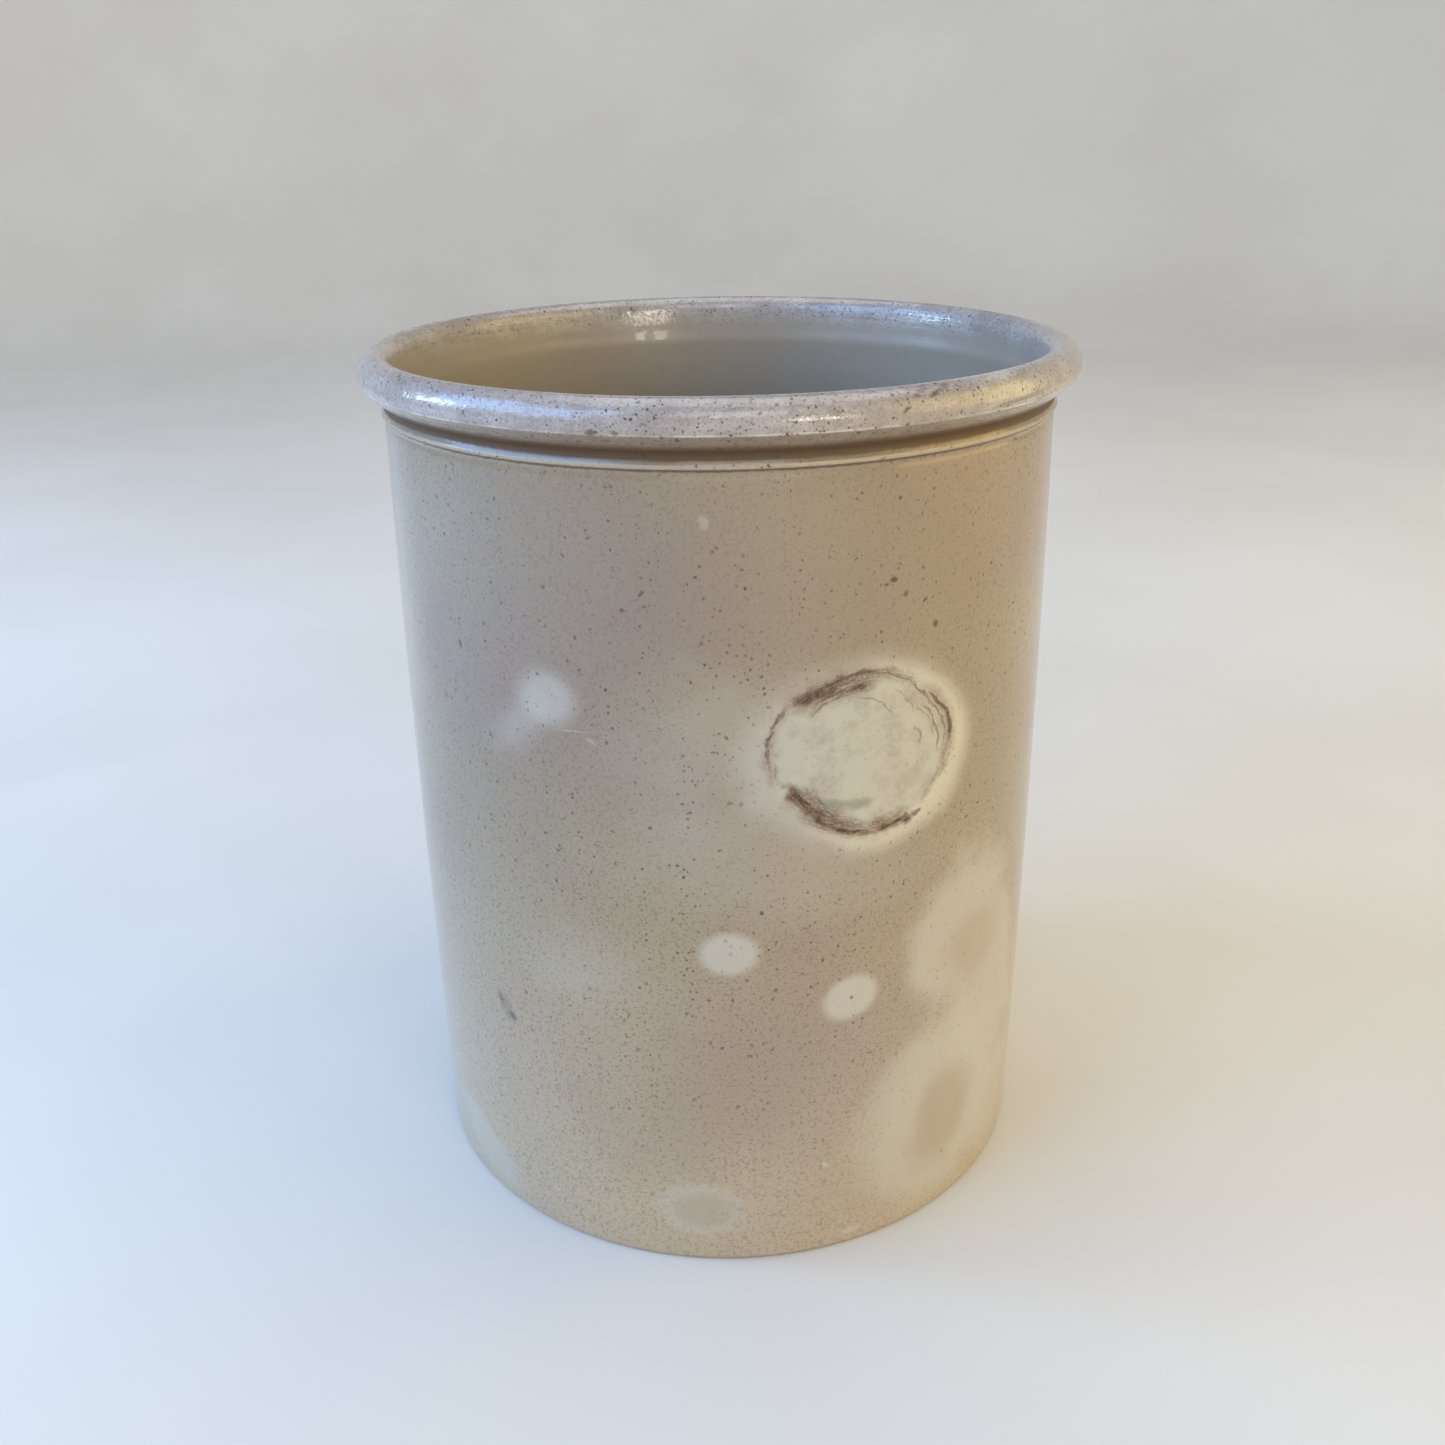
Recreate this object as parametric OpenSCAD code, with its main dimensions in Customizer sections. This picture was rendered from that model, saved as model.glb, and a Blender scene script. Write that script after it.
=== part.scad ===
// Straight-sided stoneware butter crock with a rolled rim.
// One piece of fired clay: wall, floor, rim and foot are thrown and turned from the same lump.
// The origin is the centre of the base, where the crock stands, and +Z points up out of its mouth.

/* [Body] */
// Height from the base to the top of the rim
crock_h = 245; // [160:1:340]
// Widest outside diameter of the wall
body_d = 188; // [130:1:260]
// How much the wall's radius swells between its foot and its rim
swell = 1; // [0:0.1:2]
// Thickness of the wall just below the mouth, from its widest outside diameter
wall_t = 5.5; // [4:0.1:10]
// Extra thickness of the wall where it reaches the floor
heel_extra = 2; // [0:0.5:6]
// Thickness of the floor
floor_t = 9; // [6:0.5:16]
// Radius of the inside corner between the wall and the floor
heel_r = 16; // [6:0.5:30]
// Radius of the rounded bottom edge
foot_r = 1.5; // [0.5:0.25:3.5]

/* [Rim] */
// How far the rolled rim stands out from the wall's widest diameter
rim_out = 5.5; // [4:0.25:10]
// Radius of the roll's cross-section on the outside
roll_r = 5.5; // [4:0.25:6.5]
// Angle at which the roll's round ends in a crease, measured down from level
crease_a = 30; // [20:1:38]
// Angle that the underside faces down from level, between the crease and the hollow above the bead
under_a = 50; // [42:1:60]
// Radius of the hollow above the bead
cove_r = 1.4; // [0.8:0.1:2]
// Radius of the bead below the rim
bead_r = 0.9; // [0.6:0.1:1.4]
// Radius of the groove turned below the bead
groove_r = 0.7; // [0.3:0.1:1.2]

/* [Mouth] */
// Radius of the lip's cross-section on the inside
lip_r = 4.3; // [2.5:0.1:6]
// Depth of the flared mouth, from the top of the rim to the ring inside
mouth_h = 13; // [9:0.5:30]

/* [Hidden] */
$fn = 180;
// Largest turn between two points of a rounded stretch, in degrees
arc_step = 7.5;
// Number of straight lengths that follow the swell of the wall
wall_steps = 12;
// Angle at which the bead runs into the hollow above it
bead_top_a = 60;

body_r = body_d / 2;
// Outside radius of the wall at both of its ends, where it doesn't swell
end_r = body_r - swell;

// Centres of the rim's rounded stretches, as [radius, height]
roll_c = [body_r + rim_out - roll_r, crock_h - roll_r];
lip_c = [roll_c.x, crock_h - lip_r];
// Point where the roll ends in its crease
crease = roll_c + roll_r * [cos(crease_a), -sin(crease_a)];
// The hollow touches both the bead and the sloping underside, which fixes its centre
cove_x = end_r + (bead_r + cove_r) * cos(bead_top_a);
under_l = (crease.x - cove_x + cove_r * cos(under_a)) / sin(under_a);
cove_c = [cove_x, crease.y - under_l * cos(under_a) - cove_r * sin(under_a)];
bead_c = [end_r, cove_c.y - (bead_r + cove_r) * sin(bead_top_a)];
groove_c = [end_r, bead_c.y - bead_r - groove_r];

// Centres of the rounded foot and of the inside corner
foot_c = [end_r - foot_r, foot_r];
heel_c = [body_r - wall_t - heel_extra - heel_r, floor_t + heel_r];

// Heights between which the outside wall swells
wall_z0 = foot_r;
wall_z1 = groove_c.y - groove_r;

// Points round a centre from one angle to another, leaving out the first few
function arc(centre, radius, from, to, skip = 0) =
    let (n = ceil(abs(to - from) / arc_step))
    [for (i = [skip:n])
        let (a = from + (to - from) * i / n)
        centre + radius * [cos(a), sin(a)]];

// Outside wall from the foot to the groove: the swell follows a parabola, widest halfway up
function outside_wall() =
    [for (i = [1:wall_steps])
        let (t = i / wall_steps)
        [end_r + 4 * swell * t * (1 - t), wall_z0 + (wall_z1 - wall_z0) * t]];

// Half section of the crock, from the centre of the base out, up, over the rim and down inside
function half_section() = concat(
    [[0, 0]],
    arc(foot_c, foot_r, -90, 0),
    outside_wall(),
    arc(groove_c, groove_r, 270, 90, 1),
    arc(bead_c, bead_r, -90, bead_top_a, 1),
    arc(cove_c, cove_r, 180 + bead_top_a, 180 - under_a, 1),
    arc(roll_c, roll_r, -crease_a, 90),
    arc(lip_c, lip_r, 90, 180, 1),
    [[body_r - wall_t, crock_h - mouth_h]],
    arc(heel_c, heel_r, 0, -90),
    [[0, floor_t]]
);

// The whole crock, turned about its own axis
module crock_body() {
    color([0.63, 0.57, 0.50])
        rotate_extrude()
            polygon(half_section());
}

crock_body();
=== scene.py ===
"""Stoneware butter crock with a rolled rim, standing on a pale studio floor.

The crock is one fired piece. The file has a section for its shape, then one for the glaze, for each
kind of mark in it, for its skin and for the bare foot, and last the studio around it.
"""
import math

import bpy
import numpy as np
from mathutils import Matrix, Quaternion, Vector


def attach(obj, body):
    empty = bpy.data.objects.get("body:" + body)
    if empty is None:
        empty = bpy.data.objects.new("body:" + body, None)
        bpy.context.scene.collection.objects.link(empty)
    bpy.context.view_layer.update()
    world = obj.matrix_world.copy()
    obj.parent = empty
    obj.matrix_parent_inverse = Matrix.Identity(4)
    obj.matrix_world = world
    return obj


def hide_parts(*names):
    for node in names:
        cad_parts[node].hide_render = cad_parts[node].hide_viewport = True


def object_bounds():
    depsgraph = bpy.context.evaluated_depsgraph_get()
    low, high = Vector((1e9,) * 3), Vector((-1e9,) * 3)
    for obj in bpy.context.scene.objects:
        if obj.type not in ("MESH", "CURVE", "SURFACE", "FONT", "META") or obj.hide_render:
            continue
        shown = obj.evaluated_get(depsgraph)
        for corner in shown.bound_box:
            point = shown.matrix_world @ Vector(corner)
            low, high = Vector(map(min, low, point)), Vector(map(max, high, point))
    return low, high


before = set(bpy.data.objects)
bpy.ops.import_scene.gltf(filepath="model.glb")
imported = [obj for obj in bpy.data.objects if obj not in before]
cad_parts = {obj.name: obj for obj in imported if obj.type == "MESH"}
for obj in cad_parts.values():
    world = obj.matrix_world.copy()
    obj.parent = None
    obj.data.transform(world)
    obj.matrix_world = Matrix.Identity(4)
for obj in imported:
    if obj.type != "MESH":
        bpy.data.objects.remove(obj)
cad_low, cad_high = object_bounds()


# ---------------------------------------------------------------------------------------------
# The thrown body.
# One lump of stoneware clay, thrown on the wheel, its rim rolled over and a bead turned below it,
# then dipped in glaze and fired. Wall, floor, rim and foot are a single piece.
# ---------------------------------------------------------------------------------------------
MM = 0.001
crock_height = cad_high.z - cad_low.z
rim_radius = (cad_high.x - cad_low.x) / 2
wall_radius = rim_radius - 5.5 * MM
wall_end_radius = wall_radius - 1 * MM
floor_thickness = 9 * MM
foot_round = 1.5 * MM
roll_round = 5.5 * MM
lip_round = 4.3 * MM
cove_round = 1.4 * MM
bead_round = 0.9 * MM
groove_round = 0.7 * MM
groove_left_open = 0.30
heel_round = 16 * MM
mouth_depth = 13 * MM
wall_top_thickness = 5.5 * MM
wall_foot_thickness = 7.5 * MM
under_roll_angle = math.radians(50)
crease_angle = math.radians(30)
bead_top_angle = math.radians(60)


def round_stretch(centre, radius, start, end):
    """A stretch of the half section: points at equal angles on a circle, in degrees from level."""
    turn = np.radians(np.linspace(start, end, 40))
    return np.column_stack([centre[0] + radius * np.cos(turn), centre[1] + radius * np.sin(turn)])


def swelling_wall(low, high):
    """The outside wall: its radius follows a parabola, widest halfway between foot and groove."""
    share = np.linspace(0, 1, 60)
    radius = wall_end_radius + 4 * (wall_radius - wall_end_radius) * share * (1 - share)
    return np.column_stack([radius, low + (high - low) * share])


def crock_half_section():
    """Half section from the centre of the base out, up the wall, over the rim and down inside.
    The bead, the hollow above it and the slope below the roll touch each other, which fixes them.
    Glaze fills most of the groove turned below the bead."""
    roll = np.array([rim_radius - roll_round, crock_height - roll_round])
    lip = np.array([roll[0], crock_height - lip_round])
    crease = roll + roll_round * np.array([math.cos(crease_angle), -math.sin(crease_angle)])
    cove_across = wall_end_radius + (bead_round + cove_round) * math.cos(bead_top_angle)
    slope_across = crease[0] - cove_across + cove_round * math.cos(under_roll_angle)
    slope = slope_across / math.sin(under_roll_angle)
    cove_up = crease[1] - slope * math.cos(under_roll_angle) - cove_round * math.sin(under_roll_angle)
    bead = np.array([wall_end_radius, cove_up - (bead_round + cove_round) * math.sin(bead_top_angle)])
    groove = np.array([wall_end_radius, bead[1] - bead_round - groove_round])
    heel = np.array([wall_radius - wall_foot_thickness - heel_round, floor_thickness + heel_round])
    ring_inside = [wall_radius - wall_top_thickness, crock_height - mouth_depth]
    filled_groove = round_stretch(groove, groove_round, 270, 90)
    filled_groove[:, 0] = wall_end_radius - (wall_end_radius - filled_groove[:, 0]) * groove_left_open
    return np.concatenate([
        [[0, 0]],
        round_stretch((wall_end_radius - foot_round, foot_round), foot_round, -90, 0),
        swelling_wall(foot_round, groove[1] - groove_round),
        filled_groove,
        round_stretch(bead, bead_round, -90, 60),
        round_stretch((cove_across, cove_up), cove_round, 240, 130),
        round_stretch(roll, roll_round, -30, 90),
        round_stretch(lip, lip_round, 90, 180),
        [ring_inside],
        round_stretch(heel, heel_round, 0, -90),
        [[0, floor_thickness]],
    ])


def along(points):
    """Distance travelled along a line of points, from its first point to each of them."""
    return np.concatenate([[0], np.cumsum(np.hypot(*np.diff(points, axis=0).T))])


def softened(points, spread, step):
    """The same line as a glaze coat leaves it, with its corners rounded: points at equal steps, each
    the average of its neighbours under a bell curve of the given spread. Both ends stay in place."""
    travelled = along(points)
    even = np.linspace(0, travelled[-1], int(travelled[-1] / step))
    line = np.column_stack([np.interp(even, travelled, points[:, axis]) for axis in (0, 1)])
    reach = int(4 * spread / step)
    bell = np.exp(-0.5 * (np.arange(-reach, reach + 1) * step / spread) ** 2)
    before, after = 2 * line[0] - line[reach:0:-1], 2 * line[-1] - line[-2:-reach - 2:-1]
    padded = np.concatenate([before, line, after])
    bell = bell / bell.sum()
    soft = np.column_stack([np.convolve(padded[:, axis], bell, "valid") for axis in (0, 1)])
    soft[0], soft[-1] = line[0], line[-1]
    return soft


def bend_lay(line, step, spread):
    """How the glaze lies along the line, and so where the painted highlight and the painted shade go:
    the turn of the line per metre, averaged under a bell curve. Below 0 it has drawn thin over a bump,
    above 0 it has gathered in a hollow. A narrow bell follows each edge, and a wide one follows how far
    the melted glaze ran."""
    heading = np.unwrap(np.arctan2(*np.gradient(line, axis=0).T[::-1]))
    bend = -np.gradient(heading) / step
    reach = int(4 * spread / step)
    bell = np.exp(-0.5 * (np.arange(-reach, reach + 1) * step / spread) ** 2)
    return np.convolve(np.pad(bend, reach, mode="edge"), bell / bell.sum(), "valid")


def chosen_rows(line, rows):
    """Picks places along the line for the mesh's rows: close together round the rim and the foot,
    wider apart on the plain wall and widest inside, so that every row has a share of the work."""
    travelled = along(line)
    height = line[:, 1]
    outside = travelled < travelled[height.argmax()]
    at_foot = line[:, 0] > wall_radius - 12 * MM
    spacing = np.where(outside, 2.0, 5.0)
    spacing = np.where(outside & (height > crock_height - 21 * MM), 0.62, spacing)
    spacing = np.where(~outside & (height > crock_height - 16 * MM), 0.9, spacing)
    spacing = np.where(at_foot & (height < 4 * MM), 0.5, spacing)
    spacing = np.where(~at_foot & outside & (height < 0.01 * MM), 7.0, spacing)
    work = np.cumsum(1 / spacing)
    return np.interp(np.linspace(work[0], work[-1], rows), work, np.arange(len(line)))


def turned_mesh(name, radius, height, columns):
    """A surface of revolution as a mesh. The first row is a single point on the axis and the others
    are rings, joined by four-sided faces that face away from the clay. The last row closes in a point
    too where its radius is nothing, and is left out where the surface ends open."""
    turn = np.linspace(0, 2 * math.pi, columns, endpoint=False)
    ring_radius, ring_height = radius[1:-1], height[1:-1]
    rings = np.stack([ring_radius * np.sin(turn), -ring_radius * np.cos(turn), ring_height], -1)
    points = np.concatenate([[[0, 0, height[0, 0]]], rings.reshape(-1, 3), [[0, 0, height[-1, 0]]]])
    count = len(ring_radius)
    corner = 1 + np.arange(count)[:, None] * columns + np.arange(columns)
    onward = np.roll(corner, -1, axis=1)
    band = np.stack([corner[:-1], onward[:-1], onward[1:], corner[1:]], -1).reshape(-1, 4)
    first = np.stack([np.zeros(columns, int), onward[0], corner[0]], -1)
    last = np.stack([np.full(columns, len(points) - 1), corner[-1], onward[-1]], -1)
    if radius[-1, 0] > 0:
        points, last = points[:-1], last[:0]
    mesh = bpy.data.meshes.new(name)
    mesh.from_pydata(points.tolist(), [], first.tolist() + band.tolist() + last.tolist())
    mesh.shade_smooth()
    return mesh


def thrown_wobble(turn, height, inside):
    """What the hands leave, in sines of the turn and the height: the ring is a little out of round,
    the rim a little uneven, and inside the fingers climb in a spiral. It only takes clay away, so
    the crock stays inside its own size."""
    out_of_round = 0.12 * (1 - np.cos(2 * turn - 0.7)) * height / crock_height
    near_rim = np.clip((height - crock_height) / (30 * MM) + 1, 0, 1)
    uneven = 0.05 * (2 - np.sin(5 * turn + 1.3) - np.sin(9 * turn + 0.4)) * near_rim
    finger = 0.10 * (1 + np.sin(height / (6.2 * MM) * 2 * math.pi + turn)) * inside * (1 - near_rim)
    outwards = np.where(inside > 0, 1, -1)
    return (outwards * (out_of_round + uneven) + finger) * MM


crock_columns = 420
crock_rows = 226
section_step = 0.1 * MM
glaze_softening = 0.36 * MM
crock_line = softened(crock_half_section(), glaze_softening, section_step)
narrow_bend = bend_lay(crock_line, section_step, 0.5 * MM)
wide_bend = bend_lay(crock_line, section_step, 1.3 * MM)
row_place = chosen_rows(crock_line, crock_rows)
line_index = np.arange(len(crock_line))
row_radius = np.interp(row_place, line_index, crock_line[:, 0])
row_height = np.interp(row_place, line_index, crock_line[:, 1])
row_edges = np.interp(row_place, line_index, narrow_bend)
row_hollows = np.interp(row_place, line_index, wide_bend)
row_travel = np.interp(row_place, line_index, along(crock_line))
row_inside = (row_travel > row_travel[row_height.argmax()]).astype(float)

turn_of_column = np.linspace(0, 2 * math.pi, crock_columns, endpoint=False)[None, :]
grid_height = np.broadcast_to(row_height[:, None], (crock_rows, crock_columns))
wobble = thrown_wobble(turn_of_column, grid_height, row_inside[:, None])
away_from_axis = row_radius[:, None] > 50 * MM
grid_radius = np.maximum(row_radius[:, None] + np.where(away_from_axis, wobble, 0), 0)

crock_mesh = turned_mesh("butter_crock", grid_radius, grid_height, crock_columns)
butter_crock = bpy.data.objects.new("butter_crock", crock_mesh)
bpy.context.scene.collection.objects.link(butter_crock)

# The bend of the section, which places thin and gathered glaze and the painted highlight and shade,
# goes on every point of the mesh, and the wall's own map goes on every corner: it runs in metres,
# across from the front towards the right and up from the foot, and goes on over the rim.
ring_rows = np.repeat(np.arange(1, crock_rows - 1), crock_columns)
point_row = np.concatenate([[0], ring_rows, [crock_rows - 1]])
point_column = np.concatenate([[0], np.tile(np.arange(crock_columns), crock_rows - 2), [0]])
for lay_name, row_values in (("narrow_bend_lay", row_edges), ("wide_bend_lay", row_hollows)):
    lay_of_point = crock_mesh.attributes.new(lay_name, "FLOAT", "POINT")
    lay_of_point.data.foreach_set("value", row_values[point_row].astype(np.float32))

loop_point = np.empty(len(crock_mesh.loops), int)
crock_mesh.loops.foreach_get("vertex_index", loop_point)
face_start = np.empty(len(crock_mesh.polygons), int)
crock_mesh.polygons.foreach_get("loop_start", face_start)
face_size = np.empty(len(crock_mesh.polygons), int)
crock_mesh.polygons.foreach_get("loop_total", face_size)
loop_face = np.repeat(np.arange(len(face_start)), face_size)
column_of_face = np.arange(crock_columns)
band_columns = np.tile(column_of_face, crock_rows - 3)
face_column = np.concatenate([column_of_face, band_columns, column_of_face])
own_column = face_column[loop_face]
half = crock_columns // 2
loop_column = (point_column[loop_point] - own_column + half) % crock_columns - half + own_column
on_axis = (loop_point == 0) | (loop_point == len(crock_mesh.vertices) - 1)
loop_column = np.where(on_axis, own_column + 0.5, loop_column)
face_turned = (own_column >= half) * crock_columns
loop_across = (loop_column - face_turned) / crock_columns
foot_travel = row_travel[np.argmax(row_height > foot_round)] - foot_round
loop_up = row_travel[point_row[loop_point]]

wall_map = crock_mesh.uv_layers.new(name="wall")
across_metres = loop_across * 2 * math.pi * wall_radius
wall_map.data.foreach_set("uv", np.column_stack([across_metres, loop_up - foot_travel]).ravel())
bake_map = crock_mesh.uv_layers.new(name="OFBake")
bake_across = loop_across + 0.5
bake_map.data.foreach_set("uv", np.column_stack([bake_across, loop_up / row_travel[-1]]).ravel())

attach(butter_crock, "root")
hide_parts("crock_body")


# ---------------------------------------------------------------------------------------------
# The glaze.
# A thin glossy salt-grey glaze over tan stoneware. It draws thin and light over the rim's edges,
# gathers brown in the hollow above the bead, and is peppered with iron specks from the clay. Painted
# highlights on the bead and the crease, and painted shade under the roll, in the hollow and in the
# groove, are laid over it.
# ---------------------------------------------------------------------------------------------
def fired(red, green, blue):
    """A fired colour, given as the eye reads it from 0 to 255, in the even scale that light adds in."""
    seen = np.array([red, green, blue]) / 255
    even = np.where(seen <= 0.04045, seen / 12.92, ((seen + 0.055) / 1.055) ** 2.4)
    return (*even.tolist(), 1.0)


def put(tree, kind, feeds=None, **settings):
    """Adds one node to a tree, sets it up, and feeds its inputs with values or other outputs."""
    made = tree.nodes.new(kind)
    for name, value in settings.items():
        setattr(made, name, value)
    for name, value in (feeds or {}).items():
        if isinstance(value, bpy.types.NodeSocket):
            tree.links.new(value, made.inputs[name])
        else:
            made.inputs[name].default_value = value
    return made


def sum_of(tree, operation, *values):
    """One step of arithmetic on values or outputs."""
    return put(tree, "ShaderNodeMath", dict(enumerate(values)), operation=operation).outputs[0]


def step_between(tree, value, low, high, from_value=0.0, to_value=1.0):
    """Rises smoothly from one value to another while the input goes from low to high."""
    feeds = {"Value": value, "From Min": low, "From Max": high,
             "To Min": from_value, "To Max": to_value}
    return put(tree, "ShaderNodeMapRange", feeds, interpolation_type="SMOOTHSTEP").outputs[0]


def tint(tree, share, under, over):
    """Lays one colour over another, as strongly as share says."""
    made = put(tree, "ShaderNodeMix", {0: share, 6: under, 7: over}, data_type="RGBA")
    return made.outputs[2]


def clouds(tree, place, per_metre, detail=3.0, rough=0.55):
    """Soft noise with so many clouds a metre, from 0 to 1 and 0.5 on average."""
    feeds = {"Vector": place, "Scale": per_metre, "Detail": detail, "Roughness": rough}
    return put(tree, "ShaderNodeTexNoise", feeds).outputs["Fac"]


glaze = bpy.data.materials.new("salt_grey_glaze")
glaze.use_nodes = True
pot = glaze.node_tree
pot.nodes.clear()

clay_place = put(pot, "ShaderNodeTexCoord").outputs["Object"]
wall_place = put(pot, "ShaderNodeUVMap", uv_map="wall").outputs["UV"]
wall_parts = put(pot, "ShaderNodeSeparateXYZ", {0: wall_place}).outputs
edges = put(pot, "ShaderNodeAttribute", attribute_name="narrow_bend_lay").outputs["Fac"]
hollows = put(pot, "ShaderNodeAttribute", attribute_name="wide_bend_lay").outputs["Fac"]
up_outside = wall_parts[1]
groove_below_top = 18.3 * MM
rim_travel = row_travel[row_height.argmax()] - foot_travel
bead_travel = row_travel[np.argmax(row_height > crock_height - groove_below_top)] - foot_travel
on_rim = sum_of(pot, "MULTIPLY",
                step_between(pot, up_outside, bead_travel + 5 * MM, bead_travel + 9 * MM),
                step_between(pot, up_outside, rim_travel + 6 * MM, rim_travel + 14 * MM, 1.0, 0.0))
indoors = step_between(pot, up_outside, rim_travel + 4 * MM, rim_travel + 12 * MM)

# The ground colour drifts between tan, a pinker brown and a cooler grey, and lightens to buff towards
# the foot. A fine brown mottle lies over all of it.
tan = fired(150, 134, 103)
pink_brown = fired(142, 122, 103)
grey = fired(142, 137, 131)
foot_buff = fired(196, 176, 143)
mottle_brown = fired(116, 95, 78)
ground = tint(pot, step_between(pot, clouds(pot, clay_place, 11.0, 2.0), 0.35, 0.68), tan, pink_brown)
ground = tint(pot, step_between(pot, clouds(pot, clay_place, 7.0, 2.0), 0.5, 0.8), ground, grey)
near_foot = step_between(pot, up_outside, 150 * MM, 5 * MM, 0.0, 0.66)
ground = tint(pot, near_foot, ground, foot_buff)
fine_mottle = clouds(pot, clay_place, 1100.0, 3.0, 0.7)
ground = tint(pot, step_between(pot, fine_mottle, 0.49, 0.68, 0.0, 0.6), ground, mottle_brown)


# ---------------------------------------------------------------------------------------------
# Pale patches.
# The glaze fired paler in places: in soft round spots, in large wandering patches towards the right
# and near the foot, and in a few of both kinds round the sides and the back.
# ---------------------------------------------------------------------------------------------
def effect(name, inputs, outputs):
    """An empty effect that materials can place, with named inputs and outputs."""
    group = bpy.data.node_groups.new(name, "ShaderNodeTree")
    for socket, kind, value in inputs:
        made = group.interface.new_socket(socket, in_out="INPUT", socket_type="NodeSocket" + kind)
        if kind == "Float":
            made.default_value = value
    for socket in outputs:
        group.interface.new_socket(socket, in_out="OUTPUT", socket_type="NodeSocketFloat")
    return group, put(group, "NodeGroupInput").outputs, put(group, "NodeGroupOutput").inputs


def use(tree, group, feeds):
    """Places an effect in a material."""
    return put(tree, "ShaderNodeGroup", feeds, node_tree=group).outputs


def fire_mark_effect():
    """A mark on the wall: an ellipse with its own centre, half sizes and lean, whose edge wanders
    with the noise it is given. Puts out a feathered mask, the distance in half sizes and the angle."""
    group, given, result = effect(
        "fire mark",
        [("Wall", "Vector", 0), ("Wander", "Float", 0.5), ("Across", "Float", 0.0),
         ("Up", "Float", 0.1), ("Half width", "Float", 0.01), ("Half height", "Float", 0.01),
         ("Lean", "Float", 0.0), ("Feather", "Float", 0.2), ("Ragged", "Float", 0.1)],
        ["Mask", "Distance", "Angle"])
    middle = put(group, "ShaderNodeCombineXYZ", {0: given["Across"], 1: given["Up"]})
    away = put(group, "ShaderNodeVectorMath", {0: given["Wall"], 1: middle.outputs[0]},
               operation="SUBTRACT")
    leaning = sum_of(group, "COSINE", given["Lean"])
    rising = sum_of(group, "SINE", given["Lean"])
    falling = sum_of(group, "MULTIPLY", rising, -1.0)
    parts = []
    for size, first, second in (("Half width", leaning, rising), ("Half height", falling, leaning)):
        axis = put(group, "ShaderNodeCombineXYZ", {0: sum_of(group, "DIVIDE", first, given[size]),
                                                   1: sum_of(group, "DIVIDE", second, given[size])})
        reach = put(group, "ShaderNodeVectorMath", {0: away.outputs[0], 1: axis.outputs[0]},
                    operation="DOT_PRODUCT")
        parts.append(reach.outputs["Value"])
    push = sum_of(group, "MULTIPLY", sum_of(group, "SUBTRACT", given["Wander"], 0.5),
                  sum_of(group, "MULTIPLY", given["Ragged"], 4.0))
    squared = sum_of(group, "MULTIPLY_ADD", parts[0], parts[0],
                     sum_of(group, "MULTIPLY", parts[1], parts[1]))
    distance = sum_of(group, "ADD", sum_of(group, "SQRT", squared), push)
    inner = sum_of(group, "SUBTRACT", 1.0, given["Feather"])
    outer = sum_of(group, "ADD", 1.0, given["Feather"])
    group.links.new(step_between(group, distance, inner, outer, 1.0, 0.0), result["Mask"])
    group.links.new(distance, result["Distance"])
    group.links.new(sum_of(group, "ARCTAN2", parts[1], parts[0]), result["Angle"])
    return group


def wall_mark(wander, across, up, half_width, half_height, lean, feather, ragged):
    """A fire mark placed on the crock: across from the middle of the front towards the right, and up
    the wall from the foot. Measures are in mm and the lean is in degrees."""
    return use(pot, fire_mark, {
        "Wall": wall_place, "Wander": wander, "Across": across * MM, "Up": up * MM,
        "Half width": half_width * MM, "Half height": half_height * MM, "Lean": math.radians(lean),
        "Feather": feather, "Ragged": ragged})


fire_mark = fire_mark_effect()
pale = fired(187, 178, 161)
patch_tan = fired(164, 141, 112)
# across, up, half width, half height in mm; lean in degrees; feather; ragged; strength; colour
patches = [
    (10, 205, 60, 30, 0, 0.7, 0.3, 0.45, pink_brown),
    (8, 60, 50, 22, 20, 0.7, 0.3, 0.40, pink_brown),
    (35, 22, 22, 14, 0, 0.8, 0.3, 0.30, patch_tan),
    (-2, 160, 24, 18, 30, 0.6, 0.3, 0.28, pale),
    (16, 126, 42, 14, -8, 0.7, 0.3, 0.25, pale),
    (-46, 170, 7.8, 7.2, 0, 0.45, 0.12, 0.55, pale),
    (-54, 162, 12, 5, 40, 0.8, 0.3, 0.35, pale),
    (0.3, 102.6, 7.4, 6.2, 0, 0.30, 0.10, 0.85, pale),
    (33.3, 85, 8, 6.6, 20, 0.25, 0.10, 0.90, pale),
    (-8.9, 18.2, 12.2, 9.0, 0, 0.22, 0.06, 0.52, pale),
    (-8.0, 18.0, 9.0, 6.0, 0, 0.40, 0.10, 0.35, tan),
    (-41, 92, 14, 10, 0, 0.8, 0.3, 0.22, pale),
    (-87, 14, 18, 8, -25, 0.35, 0.1, 0.60, pale),
    (74, 96, 21, 22, -25, 0.3, 0.25, 0.75, pale),
    (88, 62, 20, 30, 0, 0.35, 0.3, 0.70, pale),
    (68, 36, 29, 30, 0, 0.28, 0.2, 0.75, pale),
    (80, 86, 12, 12, -30, 0.5, 0.3, 0.60, patch_tan),
    (68, 32, 13, 15, -20, 0.5, 0.3, 0.65, patch_tan),
    (96, 25, 14, 18, -30, 0.4, 0.2, 0.60, pale),
    (-150, 128, 30, 22, 25, 0.4, 0.3, 0.55, pale),
    (-146, 124, 14, 9, 25, 0.5, 0.3, 0.45, patch_tan),
    (-168, 58, 9, 8, 0, 0.3, 0.12, 0.70, pale),
    (-214, 30, 34, 24, -15, 0.35, 0.25, 0.60, pale),
    (-236, 176, 11, 9, 10, 0.4, 0.15, 0.55, pale),
    (158, 178, 24, 16, -20, 0.5, 0.3, 0.45, pale),
    (176, 74, 8, 7, 0, 0.3, 0.12, 0.75, pale),
    (222, 112, 32, 36, 15, 0.35, 0.28, 0.60, pale),
    (226, 108, 15, 18, 15, 0.5, 0.3, 0.55, patch_tan),
    (236, 22, 26, 14, 0, 0.5, 0.2, 0.50, pale),
]
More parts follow.
